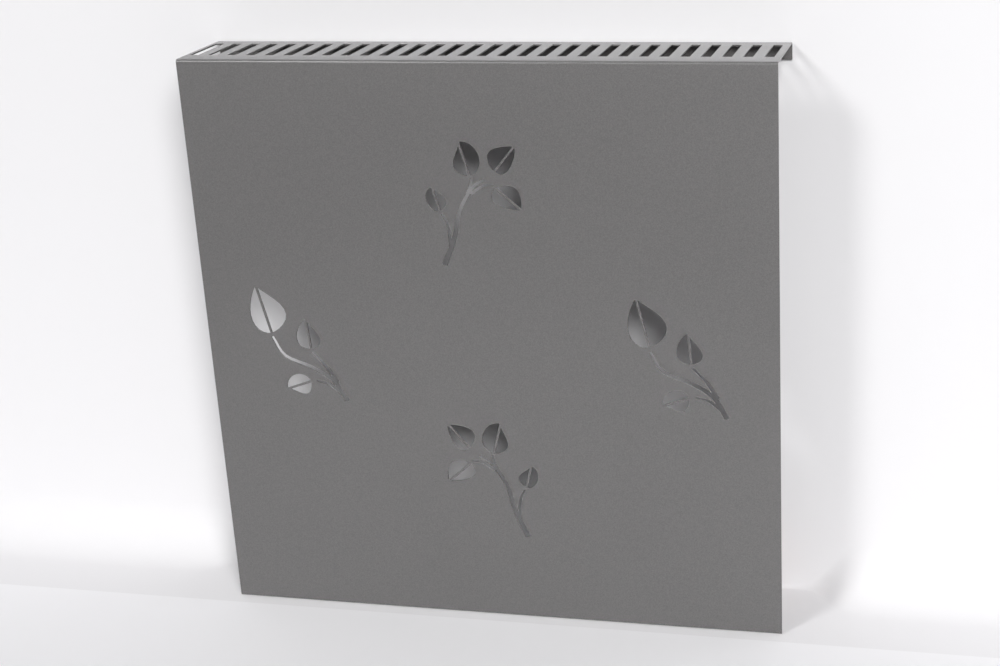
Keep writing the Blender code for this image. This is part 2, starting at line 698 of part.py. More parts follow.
def make_compression_joint(label, x, distance):
    """Nut and olive on the valve's wall branch; the house's pipe comes out of the wall into it."""
    centre = (x, out(distance), level(VALVE_LEVEL))
    nut_start, nut_end = BRANCH_LENGTH - 0.0035, BRANCH_LENGTH + 0.008
    data = bmesh.new()
    add_hexagon(data, 0.027, nut_start, nut_end, centre, "y")
    nut = new_object(label + "_compression_nut", data, "nickel")

    def draw(mesh_data):
        profile = [(0, nut_start - 0.01), (BODY_RADIUS + GAP, nut_start - 0.01),
                   (BODY_RADIUS + GAP, nut_end - 0.003), (0.0079, nut_end - 0.003),
                   (0.0079, nut_end + 0.01), (0, nut_end + 0.01)]
        add_turned(mesh_data, profile, centre, "y")
    cut(nut, draw)
    finish_round(nut, "nickel")
    olive = [(TUBE_BORE, BRANCH_LENGTH + GAP), (0.0094, BRANCH_LENGTH + 0.0016),
             (0.0094, nut_end - 0.0048), (TUBE_BORE, nut_end - 0.003 - GAP)]
    turned(label + "_olive", "brass", olive, centre, "y")


def valve_body(name, x, distance, top, extra_solid, extra_bore):
    """Angle body: foot to the element, branch to the wall, and one more opening."""
    centre = (x, out(distance), level(VALVE_LEVEL))
    foot = BODY_FOOT - VALVE_LEVEL
    data = bmesh.new()
    add_turned(data, solid(BODY_RADIUS, foot, top), centre, "z")
    body = new_object(name, data)
    merge(body, lambda m: add_turned(m, solid(BODY_RADIUS - 0.0004, 0.0, BRANCH_LENGTH), centre, "y"))
    if extra_solid:
        merge(body, lambda m: extra_solid(m, centre))
    cut(body, lambda m: add_turned(m, solid(BODY_BORE, foot - 0.01, 0.007), centre, "z", 16))
    socket = [(0, -0.001), (BODY_BORE - 0.0004, -0.001), (BODY_BORE - 0.0004, 0.010), (TUBE_BORE, 0.010),
              (TUBE_BORE, BRANCH_LENGTH + 0.01), (0, BRANCH_LENGTH + 0.01)]
    cut(body, lambda m: add_turned(m, socket, centre, "y", 16))
    cut(body, lambda m: extra_bore(m, centre))
    finish_round(body, "nickel")


def make_thermostatic_valve():
    x, distance = SUPPLY_X, SUPPLY_OUT
    centre = (x, out(distance), level(VALVE_LEVEL))

    def boss(mesh_data, middle):
        add_turned(mesh_data, solid(0.013, -BOSS_LENGTH, 0.0), middle, "x", 24)

    def boss_bore(mesh_data, middle):
        add_turned(mesh_data, solid(0.0085, -BOSS_LENGTH - 0.01, -0.0045), middle, "x", 16)
    valve_body("thermostatic_valve_body", x, distance, 0.0135, boss, boss_bore)

    insert = [(0.0019, -0.0060), (0.0082, -0.0060), (0.0082, -0.0240), (0.0065, -0.0240),
              (0.0065, -0.0300), (0.0019, -0.0300)]
    turned("valve_insert", "brass", insert, centre, "x")
    pin = [(0, -0.0342), (0.0015, -0.0342), (0.0015, -0.0038), (0, -0.0038)]
    turned("valve_pin", "zinc", pin, centre, "x", 12)
    turned("valve_disc", "rubber", solid(0.0042, -0.0035, -0.0010), centre, "x", 16)

    collar = [(0.0133, -0.0120), (0.0160, -0.0120), (0.0160, -0.0300), (0.0113, -0.0300),
              (0.0113, -0.0283), (0.0133, -0.0283)]
    turned("head_collar_nut", "nickel", collar, centre, "x", 24)
    base = [(0.0075, -0.0253), (0.0130, -0.0253), (0.0130, -0.0280), (0.0110, -0.0280),
            (0.0110, -0.0305), (0.0190, -0.0305), (0.0190, -0.0460), (0.0050, -0.0460),
            (0.0050, -0.0360), (0.0075, -0.0360)]
    turned("head_base", "white_plastic", base, centre, "x", 24)
    sensor = [(0, -0.0345), (0.0035, -0.0345), (0.0035, -0.0495), (0.0110, -0.0495),
              (0.0110, -0.0720), (0, -0.0720)]
    turned("wax_sensor", "copper", sensor, centre, "x")
    make_handwheel(centre)


def make_handwheel(centre):
    """Ribbed cup that turns on the head's base and hides the wax sensor."""
    ribs, outer, groove = 12, 0.0225, 0.0213
    outline = []
    for i in range(ribs * 4):
        radius = outer if i % 4 < 2 else groove
        angle = 2 * math.pi * i / (ribs * 4)
        outline.append((radius * math.cos(angle), radius * math.sin(angle)))

    def place(u, v, w):
        return (centre[0] + w, centre[1] + u, centre[2] + v)
    data = bmesh.new()
    add_prism(data, outline, -0.0330, -0.0890, place)
    wheel = new_object("handwheel", data, origin=centre)
    merge(wheel, lambda m: add_turned(m, solid(0.0200, -0.0920, -0.0860), centre, "x", 24))
    cut(wheel, lambda m: add_turned(m, solid(0.0193, -0.0860, -0.0200), centre, "x", 24))
    finish_round(wheel, "white_plastic")


def make_lockshield_valve():
    x, distance = RETURN_X, RETURN_OUT
    centre = (x, out(distance), level(VALVE_LEVEL))

    def gland_bore(mesh_data, middle):
        add_turned(mesh_data, solid(0.0075, 0.0050, 0.04), middle, "z", 16)
    valve_body("lockshield_body", x, distance, 0.0160, None, gland_bore)

    gland = [(0.0031, 0.0080), (0.0072, 0.0080), (0.0072, 0.0163), (0.0100, 0.0163),
             (0.0100, 0.0210), (0.0031, 0.0210)]
    turned("lockshield_gland", "brass", gland, centre, "z", 16)
    spindle = [(0, 0.0013), (0.0028, 0.0013), (0.0028, 0.0290), (0, 0.0290)]
    turned("lockshield_spindle", "zinc", spindle, centre, "z", 8)
    turned("lockshield_plug", "rubber", solid(0.0050, -0.0030, 0.0010), centre, "z", 16)
    cap = [(0, 0.0400), (0.0110, 0.0400), (0.0130, 0.0380), (0.0130, 0.0163), (0.0115, 0.0163),
           (0.0115, 0.0375), (0, 0.0375)]
    turned("lockshield_cap", "white_plastic", cap, centre, "z", 24)


def make_bleed_valve():
    """Air vent on the thermostatic valve, the highest point of the water's way."""
    centre = (SUPPLY_X, out(SUPPLY_OUT), level(VALVE_LEVEL) + 0.0135)
    body = [(0.0022, GAP), (0.0060, GAP), (0.0060, 0.0080), (0.0045, 0.0080), (0.0045, 0.0120),
            (0.0022, 0.0120)]
    turned("bleed_valve_body", "nickel", body, centre, "z", 16)
    screw = [(0, 0.0020), (0.0019, 0.0020), (0.0019, 0.0150), (0, 0.0150)]
    turned("bleed_screw", "brass", screw, centre, "z", 8)


def build():
    for obj in list(bpy.data.objects):
        bpy.data.objects.remove(obj)
    make_cover()
    make_wall_frame()
    for label, x in zip(("left", "right"), ARM_X):
        make_core_arm(label, x)
    make_saddle_screws()
    make_fin_pack()
    make_end_plates()
    make_tubes()
    for label, x, distance in (("supply", SUPPLY_X, SUPPLY_OUT), ("return", RETURN_X, RETURN_OUT)):
        make_union(label, x, distance)
        make_compression_joint(label, x, distance)
    make_thermostatic_valve()
    make_lockshield_valve()
    make_bleed_valve()


build()
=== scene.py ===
"""Looks of the wall-hung convector heater: materials, fine detail, stage, light and camera.

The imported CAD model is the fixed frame, and every piece here sits where that frame says.
Lengths are metres, with +X to the right seen from the room, +Y into the wall and +Z up.
"""

import json
import math

import bmesh
import bpy
from mathutils import Matrix, Vector

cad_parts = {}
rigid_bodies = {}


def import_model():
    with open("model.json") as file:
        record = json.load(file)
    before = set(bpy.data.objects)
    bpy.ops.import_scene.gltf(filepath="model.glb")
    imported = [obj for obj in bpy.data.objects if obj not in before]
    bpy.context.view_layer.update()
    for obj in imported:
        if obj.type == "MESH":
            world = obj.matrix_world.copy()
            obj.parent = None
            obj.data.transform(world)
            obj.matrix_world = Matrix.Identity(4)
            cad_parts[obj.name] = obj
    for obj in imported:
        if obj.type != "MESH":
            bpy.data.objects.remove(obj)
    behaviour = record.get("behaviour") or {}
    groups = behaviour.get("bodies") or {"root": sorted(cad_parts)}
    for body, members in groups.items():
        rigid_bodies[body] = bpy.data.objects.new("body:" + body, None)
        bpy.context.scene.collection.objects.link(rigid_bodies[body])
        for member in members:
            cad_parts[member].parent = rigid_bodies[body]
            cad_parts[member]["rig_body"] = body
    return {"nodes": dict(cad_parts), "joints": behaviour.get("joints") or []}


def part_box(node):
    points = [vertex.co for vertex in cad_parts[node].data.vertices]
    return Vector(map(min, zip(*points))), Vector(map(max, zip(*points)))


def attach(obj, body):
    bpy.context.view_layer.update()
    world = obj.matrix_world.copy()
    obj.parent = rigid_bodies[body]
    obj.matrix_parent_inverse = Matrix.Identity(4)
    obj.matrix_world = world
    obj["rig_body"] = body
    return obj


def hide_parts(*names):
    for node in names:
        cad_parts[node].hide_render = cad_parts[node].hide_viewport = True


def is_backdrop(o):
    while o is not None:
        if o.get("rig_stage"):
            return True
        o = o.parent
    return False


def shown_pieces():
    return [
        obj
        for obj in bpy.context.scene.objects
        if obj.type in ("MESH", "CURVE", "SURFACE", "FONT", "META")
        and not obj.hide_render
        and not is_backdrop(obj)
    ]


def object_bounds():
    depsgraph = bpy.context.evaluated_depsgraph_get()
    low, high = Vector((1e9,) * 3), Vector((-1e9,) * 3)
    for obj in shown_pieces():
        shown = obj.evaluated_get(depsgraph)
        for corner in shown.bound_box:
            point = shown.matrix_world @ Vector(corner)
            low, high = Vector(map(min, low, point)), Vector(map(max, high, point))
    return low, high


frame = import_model()
CAD_LOW, CAD_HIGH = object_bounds()

PIVOTS = {joint["name"]: Vector(joint["pos_m"]) for joint in frame["joints"] if "pos_m" in joint}
SUPPLY = PIVOTS["handwheel_turn"]  # middle of the thermostatic valve's body
RETURN = PIVOTS["lockshield_turn"]  # middle of the lockshield valve's body
BOTTOM, TOP = CAD_LOW.z, CAD_HIGH.z
WALL = CAD_HIGH.y
MIDDLE = (CAD_LOW + CAD_HIGH) / 2


# ---------------------------------------------------------------- materials

def link(tree, source, target):
    tree.links.new(source, target)


def object_noise(tree, scale, detail, stretch=(1, 1, 1)):
    """Noise in metres of the object, so that it stays put on the part when the part moves."""
    place = tree.nodes.new("ShaderNodeTexCoord")
    mapping = tree.nodes.new("ShaderNodeMapping")
    mapping.inputs["Scale"].default_value = stretch
    noise = tree.nodes.new("ShaderNodeTexNoise")
    noise.inputs["Scale"].default_value = scale
    noise.inputs["Detail"].default_value = detail
    link(tree, place.outputs["Object"], mapping.inputs["Vector"])
    link(tree, mapping.outputs["Vector"], noise.inputs["Vector"])
    return noise.outputs["Fac"]


def spread(tree, value, low, high, contrast=0.18):
    """Noise, which keeps near the middle, spread out between two values."""
    node = tree.nodes.new("ShaderNodeMapRange")
    node.inputs["From Min"].default_value = 0.5 - contrast
    node.inputs["From Max"].default_value = 0.5 + contrast
    node.inputs["To Min"].default_value = low
    node.inputs["To Max"].default_value = high
    link(tree, value, node.inputs["Value"])
    return node.outputs["Result"]


COAT_ROUGHNESS = 0.25
GLOSS_SPREAD = 0.12  # share by which the blotches vary the roughness either way


def finish(name, dark, light, roughness, metallic=0.0, grain=900, grain_depth=0.00004,
           stretch=(1, 1, 1), blotch=14, blotch_share=0.12, specular=0.5, coat=0.0):
    """One procedural finish: grain in colour and bump, slow blotches in colour and gloss."""
    material = bpy.data.materials.new(name)
    material.use_nodes = True
    tree = material.node_tree
    shader = tree.nodes["Principled BSDF"]
    shader.inputs["Metallic"].default_value = metallic
    shader.inputs["Specular IOR Level"].default_value = specular
    shader.inputs["Coat Weight"].default_value = coat
    shader.inputs["Coat Roughness"].default_value = COAT_ROUGHNESS

    fine = object_noise(tree, grain, 3, stretch)
    slow = object_noise(tree, blotch, 4)
    mix = tree.nodes.new("ShaderNodeMix")
    mix.data_type = "RGBA"
    mix.inputs["A"].default_value = (*dark, 1)
    mix.inputs["B"].default_value = (*light, 1)
    link(tree, spread(tree, fine, 0, 1), mix.inputs["Factor"])
    shade = tree.nodes.new("ShaderNodeMix")
    shade.data_type = "RGBA"
    shade.blend_type = "MULTIPLY"
    shade.inputs["Factor"].default_value = 1
    link(tree, mix.outputs["Result"], shade.inputs["A"])
    grey = tree.nodes.new("ShaderNodeCombineColor")
    level = spread(tree, slow, 1 - blotch_share, 1.0)
    for channel in ("Red", "Green", "Blue"):
        link(tree, level, grey.inputs[channel])
    link(tree, grey.outputs["Color"], shade.inputs["B"])
    link(tree, shade.outputs["Result"], shader.inputs["Base Color"])
    dullest, glossiest = roughness * (1 + GLOSS_SPREAD), roughness * (1 - GLOSS_SPREAD)
    link(tree, spread(tree, slow, dullest, glossiest), shader.inputs["Roughness"])

    bump = tree.nodes.new("ShaderNodeBump")
    bump.inputs["Strength"].default_value = 1.0
    bump.inputs["Distance"].default_value = grain_depth
    link(tree, fine, bump.inputs["Height"])
    link(tree, bump.outputs["Normal"], shader.inputs["Normal"])
    return material


MATERIALS = {
    "grey_paint": finish("grey powder coat", (0.066, 0.0635, 0.0635), (0.098, 0.0945, 0.0945), 0.42,
                         grain=1150, grain_depth=0.00007, blotch=5, blotch_share=0.05, coat=0.8),
    "zinc_plate": finish("zinc plating", (0.50, 0.51, 0.53), (0.66, 0.67, 0.68), 0.34, metallic=1.0,
                         grain=420, grain_depth=0.00001, blotch=60, blotch_share=0.2),
    "grey_plastic": finish("moulded nylon", (0.17, 0.175, 0.18), (0.21, 0.215, 0.22), 0.5,
                           grain=1800, grain_depth=0.00003, blotch=30),
    "black_rubber": finish("moulded rubber", (0.018, 0.018, 0.019), (0.032, 0.032, 0.033), 0.75,
                           grain=2200, grain_depth=0.00003, blotch=80),
    "magnet": finish("ground ferrite", (0.10, 0.10, 0.105), (0.16, 0.16, 0.165), 0.4, metallic=0.7,
                     grain=1500, grain_depth=0.00001, stretch=(1, 1, 9), blotch=200),
    "fin_aluminium": finish("rolled aluminium", (0.62, 0.63, 0.64), (0.76, 0.77, 0.78), 0.42,
                            metallic=0.4, grain=500, grain_depth=0.00001, stretch=(1, 1, 12), blotch=50),
    "copper": finish("drawn copper", (0.60, 0.27, 0.16), (0.78, 0.40, 0.25), 0.27, metallic=1.0,
                     grain=260, grain_depth=0.00001, stretch=(1, 5, 5), blotch=45, blotch_share=0.3),
    "brass": finish("turned brass", (0.60, 0.43, 0.17), (0.74, 0.55, 0.25), 0.24, metallic=1.0,
                    grain=900, grain_depth=0.00001, stretch=(1, 1, 8), blotch=70, blotch_share=0.2),
    "nickel_plate": finish("nickel plating", (0.55, 0.53, 0.50), (0.66, 0.64, 0.61), 0.2, metallic=1.0,
                           grain=500, grain_depth=0.00001, blotch=80, blotch_share=0.15),
    "white_plastic": finish("moulded white plastic", (0.76, 0.76, 0.74), (0.82, 0.82, 0.80), 0.38,
                            grain=1500, grain_depth=0.00002, blotch=40, blotch_share=0.04),
}


# ---------------------------------------------------------------- pieces

SAME_POINT = 0.000001  # vertices nearer than this are one
FLAT_ANGLE = math.radians(0.5)  # faces that meet flatter than this are one
BEVEL_ANGLE = math.radians(40)


def body_of(node):
    return frame["nodes"][node]["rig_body"]


def show(name, data, slot, body, nodes=(), bevel=0.0, sharp=35):
    """Turns mesh data into a piece with its finish, its slot and its body, and hides the nodes it stands
    for.
    """
    bmesh.ops.recalc_face_normals(data, faces=data.faces)
    mesh = bpy.data.meshes.new(name)
    data.to_mesh(mesh)
    data.free()
    mesh.shade_smooth()
    mesh.set_sharp_from_angle(angle=math.radians(sharp))
    piece = bpy.data.objects.new(name, mesh)
    bpy.context.scene.collection.objects.link(piece)
    mesh.materials.append(MATERIALS[slot])
    if bevel:
        edge = piece.modifiers.new("edge", "BEVEL")
        edge.width = bevel
        edge.segments = 2
        edge.limit_method = "ANGLE"
        edge.angle_limit = BEVEL_ANGLE
        edge.harden_normals = True
    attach(piece, body)
    if nodes:
        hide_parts(*nodes)
    return piece


def refined(node, name, slot, bevel):
    """The node's own shape, with its flat faces made whole and its edges eased."""
    data = bmesh.new()
    data.from_mesh(frame["nodes"][node].data)
    bmesh.ops.remove_doubles(data, verts=data.verts, dist=SAME_POINT)
    bmesh.ops.dissolve_limit(data, angle_limit=FLAT_ANGLE, verts=data.verts, edges=data.edges)
    return show(name, data, slot, body_of(node), [node], bevel)


folded_cover = refined("front_cover", "folded_cover", "grey_paint", 0.0002)


# ---------------------------------------------------------------- turned and cut shapes
# Every profile is a closed list of (radius, distance along the axis from the centre).

ROUND = 48  # sides of a turned piece
ON_AXIS = 1e-6  # a radius below this is a point on the axis
EASE = 0.0003  # usual chamfer on a turned corner
EASE_SHARE = 0.3  # the most of a short side that a chamfer may take
AXES = {
    "x": Matrix(((0, 0, 1), (1, 0, 0), (0, 1, 0))),
    "y": Matrix(((1, 0, 0), (0, 0, 1), (0, 1, 0))),
    "z": Matrix(((1, 0, 0), (0, 1, 0), (0, 0, 1))),
}


def height(above):
    """Z of a height above the cover's bottom edge."""
    return BOTTOM + above


def box_middle(node):
    low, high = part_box(node)
    return (low + high) / 2


def eased(profile, corner):
    """The closed profile with a short chamfer at each corner that is off the axis."""
    result = []
    for i, point in enumerate(profile):
        if point[0] < ON_AXIS:
            result.append(point)
            continue
        here = Vector(point)
        for other in (Vector(profile[i - 1]), Vector(profile[(i + 1) % len(profile)])):
            span = other - here
            cut = min(corner, span.length * EASE_SHARE)
            result.append(tuple(here + span.normalized() * cut))
    return result


def add_turned(data, profile, centre, axis, sides=ROUND, wave=None):
    """Turn a profile about a line through centre; wave(radius, angle, along) may alter the radius."""
    turn = AXES[axis]
    rings = []
    for radius, along in profile:
        if radius < ON_AXIS:
            rings.append([data.verts.new(Vector(centre) + turn @ Vector((0, 0, along)))])
            continue
        ring = []
        for i in range(sides):
            angle = 2 * math.pi * (i + 0.5) / sides
            reach = wave(radius, angle, along) if wave else radius
            local = Vector((reach * math.cos(angle), reach * math.sin(angle), along))
            ring.append(data.verts.new(Vector(centre) + turn @ local))
        rings.append(ring)
    for first, second in zip(rings, rings[1:] + rings[:1]):
        if len(first) == 1 and len(second) == 1:
            continue
        for i in range(sides):
            j = (i + 1) % sides
            corners = [first[i % len(first)], first[j % len(first)],
                       second[j % len(second)], second[i % len(second)]]
            data.faces.new(list(dict.fromkeys(corners)))


def turned_data(profile, centre, axis, corner=EASE, sides=ROUND, wave=None):
    data = bmesh.new()
    add_turned(data, eased(profile, corner) if corner else profile, centre, axis, sides, wave)
    return data


def turned(node, name, slot, profile, centre, axis, corner=EASE, sides=ROUND, wave=None):
    """A turned piece that stands for a node."""
    data = turned_data(profile, centre, axis, corner, sides, wave)
    return show(name, data, slot, body_of(node), [node])


def flat_sided(angle, count, apothem):
    """Reach of a regular polygon's side at an angle round it."""
    side = 2 * math.pi / count
    return apothem / math.cos((angle % side) - side / 2)


NUT_FACE = 0.95  # radius of a nut's end face, as a share of half its flats
NUT_BORE_BELOW = 0.92  # radii below this share belong to the bore
NUT_CONE = 0.58  # rise over run of the cone on a nut's corners, about 30 degrees


def hexagon_nut(node, name, flats, start, end, bore, centre, axis):
    """A nickel-plated nut whose hexagon is turned down to a cone at both ends."""
    apothem, corner_radius = flats / 2, flats / math.sqrt(3)
    rise = (corner_radius - apothem) * NUT_CONE

    def hexagon(radius, angle, along):
        if radius < apothem * NUT_BORE_BELOW:
            return radius
        return min(flat_sided(angle, 6, apothem), radius)

    outline = [(apothem * NUT_FACE, start), (corner_radius, start + rise),
               (corner_radius, end - rise), (apothem * NUT_FACE, end)]
    data = turned_data(bore + outline, centre, axis, 0, ROUND, hexagon)
    return show(name, data, "nickel_plate", body_of(node), [node], sharp=24)


def combine(first, second, operation):
    """Boolean of two meshes under construction; both are used up."""
    parts = []
    for data in (first, second):
        bmesh.ops.recalc_face_normals(data, faces=data.faces)
        mesh = bpy.data.meshes.new("part")
        data.to_mesh(mesh)
        data.free()
        part = bpy.data.objects.new("part", mesh)
        bpy.context.scene.collection.objects.link(part)
        parts.append(part)
    step = parts[0].modifiers.new("step", "BOOLEAN")
    step.operation = operation
    step.solver = "EXACT"
    step.object = parts[1]
    made = bpy.data.meshes.new_from_object(parts[0].evaluated_get(bpy.context.evaluated_depsgraph_get()))
    result = bmesh.new()
    result.from_mesh(made)
    bpy.data.meshes.remove(made)
    for part in parts:
        bpy.data.objects.remove(part)
    return result


def solid(radius, start, end):
    return [(0, start), (radius, start), (radius, end), (0, end)]


def ring(inner, outer, start, end):
    return [(inner, start), (outer, start), (outer, end), (inner, end)]


BLADE_MOUTH = 0.0019  # half the length of a recess at the head's face
BLADE_FOOT = BLADE_MOUTH * 0.45  # and at its bottom
BLADE_THICK = (0.00045, 0.0003)  # half its width there
BLADE_OVERSHOOT = 1.08  # the blades start a little outside the head


def blade(centre, turn, depth, face_at, swap):
    """One tapering blade, from just outside a head's face down into it."""
    data = bmesh.new()
    foot_at = face_at - math.copysign(depth, face_at)
    corners = []
    for reach, thick, along in ((BLADE_MOUTH, BLADE_THICK[0], face_at * BLADE_OVERSHOOT),
                                (BLADE_FOOT, BLADE_THICK[1], foot_at)):
        for u, v in ((-reach, -thick), (reach, -thick), (reach, thick), (-reach, thick)):
            local = Vector((v, u, along)) if swap else Vector((u, v, along))
            corners.append(data.verts.new(Vector(centre) + turn @ local))
    for face in ((0, 1, 2, 3), (4, 5, 6, 7), (0, 1, 5, 4), (1, 2, 6, 5), (2, 3, 7, 6), (3, 0, 4, 7)):
        data.faces.new([corners[i] for i in face])
    return data


def cross_recess(centre, axis, depth, face_at):
    """Two crossed blades, as a driver's tip leaves in a screw's head."""
    blades = [blade(centre, AXES[axis], depth, face_at, swap) for swap in (False, True)]
    return combine(*blades, "UNION")


# ---------------------------------------------------------------- detail on the frame

STRIP_EASE = 0.00025
BLOCK_EASE = 0.0004
PLATE_EASE = 0.0002


def make_strips():
    """Sheet, strip and block parts: the node's own shape with eased edges."""
    for node in ("top_rail", "bottom_rail", "left_upright", "right_upright",
                 "left_cover_hook", "right_cover_hook", "left_core_arm", "right_core_arm"):
        refined(node, node + "_strip", "grey_paint", STRIP_EASE)
    for node in ("left_core_saddle", "right_core_saddle"):
        refined(node, node + "_block", "grey_plastic", BLOCK_EASE)
    for node in ("left_end_plate", "right_end_plate"):
        refined(node, node + "_sheet", "zinc_plate", PLATE_EASE)


SCREW_SIDES = 32
SHANK, HEAD = 0.0019, 0.0036
DOME_TOP = -0.0062  # head's face from the wall
COUNTERSUNK_FACE = -0.0016
DOMED = [(0, -0.0004), (SHANK, -0.0004), (SHANK, -0.0046), (HEAD, -0.0046), (HEAD, -0.0051),
         (0.0032, -0.0057), (0.0024, -0.0061), (0.0012, DOME_TOP), (0, DOME_TOP)]
COUNTERSUNK = [(0, COUNTERSUNK_FACE), (0.0022, -0.0015), (HEAD, -0.0010), (HEAD, 0), (0.0013, 0),
               (0.0013, 0.0062), (0.0006, 0.007), (0, 0.007)]
DOMED_RECESS = 0.0014  # depths of the cross recesses
COUNTERSUNK_RECESS = 0.0011


def make_screws():
    """Domed heads, plain on the rivets and recessed on the screws, and countersunk ones below."""
    for node in frame["nodes"]:
        middle = box_middle(node)
        if node.startswith(("frame_rivet", "hook_screw", "arm_screw")):
            centre = (middle.x, 0, middle.z)
            data = turned_data(DOMED, centre, "y", 0, SCREW_SIDES)
            if "screw" in node:
                data = combine(data, cross_recess(centre, "y", DOMED_RECESS, DOME_TOP), "DIFFERENCE")
        elif node.startswith("saddle_screw"):
            centre = (middle.x, middle.y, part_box(node)[0].z - COUNTERSUNK_FACE)
            data = turned_data(COUNTERSUNK, centre, "z", 0, SCREW_SIDES)
            recess = cross_recess(centre, "z", COUNTERSUNK_RECESS, COUNTERSUNK_FACE)
            data = combine(data, recess, "DIFFERENCE")
        else:
            continue
        show(node + "_turned", data, "zinc_plate", body_of(node), [node])


BUFFER_BORE = 0.0053
REST_EASE = 0.0004


def make_rests():
    """The rubber ring and the catch magnet on the front of each cradle."""
    for side in ("left", "right"):
        for part, name, slot, inner in (("_front_buffer", "_rubber_ring", "black_rubber", BUFFER_BORE),
                                        ("_catch_magnet", "_magnet_disc", "magnet", 0)):
            low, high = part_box(side + part)
            middle = box_middle(side + part)
            centre = (middle.x, 0, middle.z)
            outer = (high.x - low.x) / 2
            profile = ring(inner, outer, high.y, low.y) if inner else solid(outer, high.y, low.y)
            turned(side + part, side + name, slot, profile, centre, "y", REST_EASE)


# ---------------------------------------------------------------- detail on the heating element

ELEMENT_LEVEL = 0.029  # the tubes' axes above the cover's bottom edge
TUBE_RADIUS = 0.0075
TUBE_WALL = 0.0008
TUBE_SIDES = 32
ELBOW_RADIUS = 0.020
ELBOW_STEPS = 16
SOCKET = 0.009  # length of the return bend's sockets
SOCKET_BORE = 0.0076
BEND_OUTER = 0.0080
BEND_STEPS = 32
SHOULDER = 0.0012  # from a socket's end to the slimmer bend
MOUTH = 0.0008  # length of the eased edge at a socket's mouth
MOUTH_EASE = 0.0003  # and its height
FIN_PITCH = 0.004
FIN_SHEET = 0.00035
FIN_SIDES = 24
COLLAR_RADIUS = 0.0086
FIN_BORE = 0.0077


def bridge(data, first, second):
    """Faces between two rings of equal length."""
    for i in range(len(first)):
        j = (i + 1) % len(first)
        data.faces.new((first[i], first[j], second[j], second[i]))


def swept(name, node, slot, path, side_axis, outer, inner):
    """A tube along a flat path; outer gives its outside radius at each point of the path."""
    data = bmesh.new()
    angles = [2 * math.pi * k / TUBE_SIDES for k in range(TUBE_SIDES)]
    points = [Vector(p) for p in path]
    skins = []
    for radii in (outer, [inner] * len(points)):
        rings = []
        for i, point in enumerate(points):
            ahead = points[min(i + 1, len(points) - 1)] - points[max(i - 1, 0)]
            across = ahead.normalized().cross(side_axis)
            spokes = [math.cos(a) * side_axis + math.sin(a) * across for a in angles]
            rings.append([data.verts.new(point + radii[i] * spoke) for spoke in spokes])
        skins.append(rings)
    loops = skins[0] + skins[1][::-1]
    for first, second in zip(loops, loops[1:] + loops[:1]):
        bridge(data, first, second)
    return show(name, data, slot, body_of(node), [node])


def arc_angles(start, end, steps):
    """Evenly spaced angles, in radians, between two in degrees."""
    return [math.radians(start + (end - start) * i / steps) for i in range(steps + 1)]


def make_tubes():
    """Drawn copper tubes, each with an elbow, and the return bend with its swaged sockets."""
    z = height(ELEMENT_LEVEL)
    for label, valve in (("supply", SUPPLY), ("return", RETURN)):
        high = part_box(label + "_tube")[1]
        path = [(high.x, valve.y, z)]
        for angle in arc_angles(270, 180, ELBOW_STEPS):
            path.append((valve.x + ELBOW_RADIUS + ELBOW_RADIUS * math.cos(angle), valve.y,
                         z + ELBOW_RADIUS + ELBOW_RADIUS * math.sin(angle)))
        path.append((valve.x, valve.y, high.z))
        swept(label + "_copper_tube", label + "_tube", "copper", path, Vector((0, 1, 0)),
              [TUBE_RADIUS] * len(path), TUBE_RADIUS - TUBE_WALL)
    low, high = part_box("return_bend")
    outside = (high.z - low.z) / 2
    centre_x, middle = low.x + SOCKET, (SUPPLY.y + RETURN.y) / 2
    radius = (RETURN.y - SUPPLY.y) / 2
    socket_x = (low.x, low.x + MOUTH, centre_x - SHOULDER)
    socket_outer = [outside - MOUTH_EASE, outside, outside]
    path = [(x, SUPPLY.y, z) for x in socket_x]
    outer = list(socket_outer)
    for angle in arc_angles(-90, 90, BEND_STEPS):
        path.append((centre_x + radius * math.cos(angle), middle + radius * math.sin(angle), z))
        outer.append(BEND_OUTER)
    path += [(x, RETURN.y, z) for x in reversed(socket_x)]
    outer += reversed(socket_outer)
    swept("return_bend_tube", "return_bend", "copper", path, Vector((0, 0, 1)), outer, SOCKET_BORE)


def fin_face(data, x, low, high, radius):
    """One side of a fin: a rectangle round two holes. Returns its rim and the two hole rings."""
    lines = (low.y, (SUPPLY.y + RETURN.y) / 2, high.y)
    corners = {(i, z): data.verts.new((x, lines[i], z)) for i in range(3) for z in (low.z, high.z)}
    holes = []
    for y in (SUPPLY.y, RETURN.y):
        angles = [2 * math.pi * i / FIN_SIDES for i in range(FIN_SIDES)]
        holes.append([data.verts.new((x, y + radius * math.cos(a),
                                      height(ELEMENT_LEVEL) + radius * math.sin(a))) for a in angles])
    quarter = FIN_SIDES // 4
    for half, hole in enumerate(holes):
        # Corners in the same turning order as the ring, which starts at +Y and turns towards +Z.
        square = [corners[half + 1, high.z], corners[half, high.z],
                  corners[half, low.z], corners[half + 1, low.z]]
        for k, corner in enumerate(square):
            for i in range(quarter):
                first = (k * quarter + i) % FIN_SIDES
                data.faces.new((corner, hole[first], hole[(first + 1) % FIN_SIDES]))
            data.faces.new((corner, square[(k + 1) % 4], hole[((k + 1) * quarter) % FIN_SIDES]))
    rim = [corners[key] for key in ((0, low.z), (1, low.z), (2, low.z),
                                    (2, high.z), (1, high.z), (0, high.z))]
    return rim, holes


